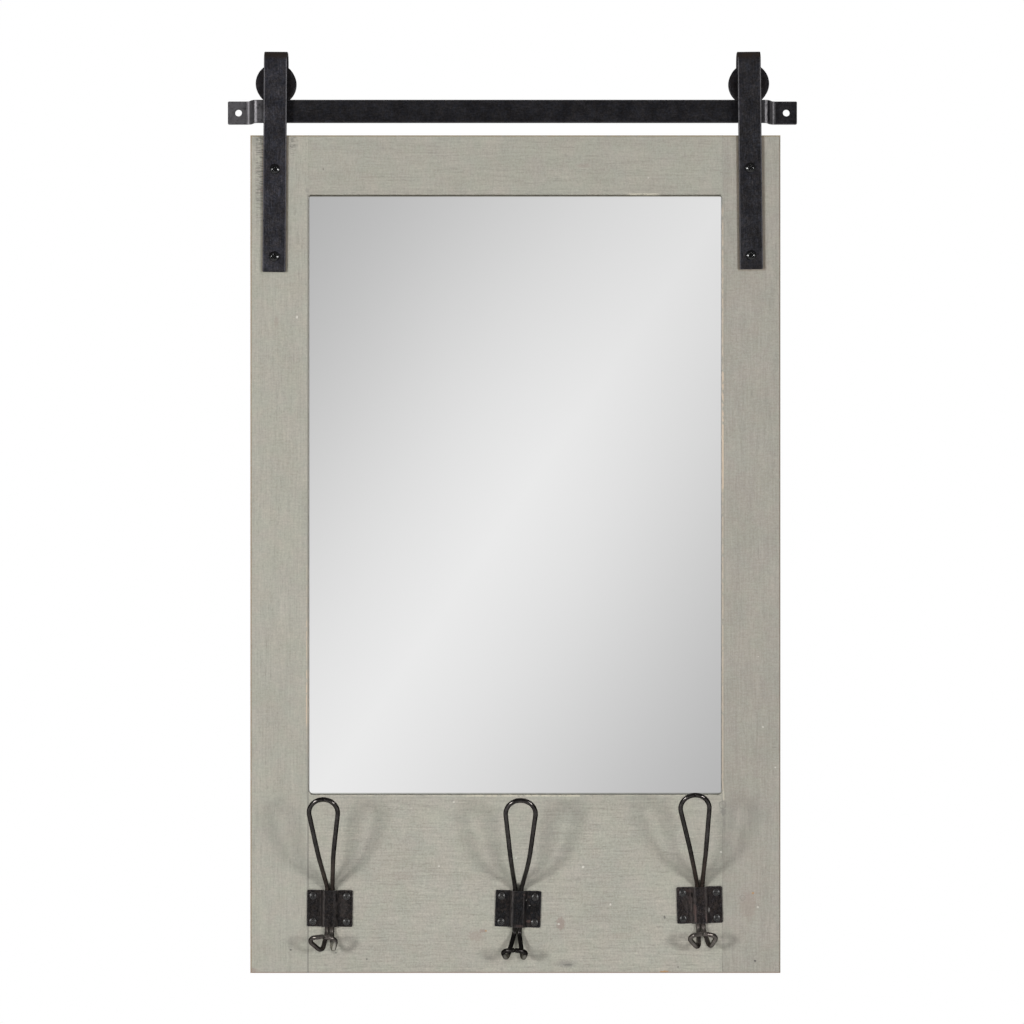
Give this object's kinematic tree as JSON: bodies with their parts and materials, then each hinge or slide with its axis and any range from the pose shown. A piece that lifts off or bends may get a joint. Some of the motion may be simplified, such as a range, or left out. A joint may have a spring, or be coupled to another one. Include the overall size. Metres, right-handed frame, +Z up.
{
  "type": "wall mirror with coat hooks",
  "caption": "Framed wall mirror with wire coat hooks on its lower board, hung from a flat bar by strap hangers with grooved wheels.",
  "frame": {"origin": "midway between the two wall screw holes of the bar, on the wall plane", "axes": "+X along the bar to the viewer's right, +Y into the wall, +Z up"},
  "size_m": [0.497, 0.077, 0.8005],
  "materials": {
    "rail_iron": "satin blackened, rubbed on its bends and edges",
    "strap_iron": "satin blackened, brushed along its length, bright worn edges",
    "wheel_iron": "satin black",
    "black_screw": "gloss black",
    "plate_screw": "dull black with grey rims",
    "painted_wood": "flat greige paint over fine grain, with saw marks, knots and specks",
    "bare_wood": "raw",
    "mirror": "silvered glass",
    "hardboard": "smooth brown board",
    "zinc": "zinc plated",
    "bumper_rubber": "matt",
    "plate_iron": "satin black, dented and rubbed",
    "wire_iron": "semi-gloss black"
  },
  "bodies": {
    "rail": {"rail_bar": "rail_iron"},
    "mirror": {"left_strap": "strap_iron", "right_strap": "strap_iron", "left_axle": "strap_iron", "right_axle": "strap_iron", "wheel_washers": "zinc", "left_strap_screws": "black_screw", "right_strap_screws": "black_screw", "left_stile": "painted_wood", "right_stile": "painted_wood", "frame_top_rail": "painted_wood", "frame_bottom_rail": "painted_wood", "frame_dowels": "bare_wood", "mirror_glass": "mirror", "mirror_backing": "hardboard", "backing_clips": "zinc", "clip_screws": "zinc", "wall_bumpers": "bumper_rubber", "left_hook_plate": "plate_iron", "centre_hook_plate": "plate_iron", "right_hook_plate": "plate_iron", "left_hook_wire": "wire_iron", "centre_hook_wire": "wire_iron", "right_hook_wire": "wire_iron", "left_hook_screws": "plate_screw", "centre_hook_screws": "plate_screw", "right_hook_screws": "plate_screw"},
    "left_wheel": {"left_wheel": "wheel_iron"},
    "right_wheel": {"right_wheel": "wheel_iron"}
  },
  "joints": [
    {"name": "mirror_roll", "type": "slide", "parent": "rail", "child": "mirror", "axis": [1, 0, 0], "range_m": [-0.005, 0.005]},
    {"name": "left_wheel_turn", "type": "hinge", "parent": "mirror", "child": "left_wheel", "pos_m": [-0.2055, -0.0125, 0.02365], "axis": [0, 1, 0], "range_deg": [-21.5, 21.5]},
    {"name": "right_wheel_turn", "type": "hinge", "parent": "mirror", "child": "right_wheel", "pos_m": [0.2055, -0.0125, 0.02365], "axis": [0, 1, 0], "range_deg": [-21.5, 21.5]}
  ],
  "couplings": [
    {"joint": "left_wheel_turn", "follows": "mirror_roll", "rad_per_m": 74.074},
    {"joint": "right_wheel_turn", "follows": "mirror_roll", "rad_per_m": 74.074}
  ]
}
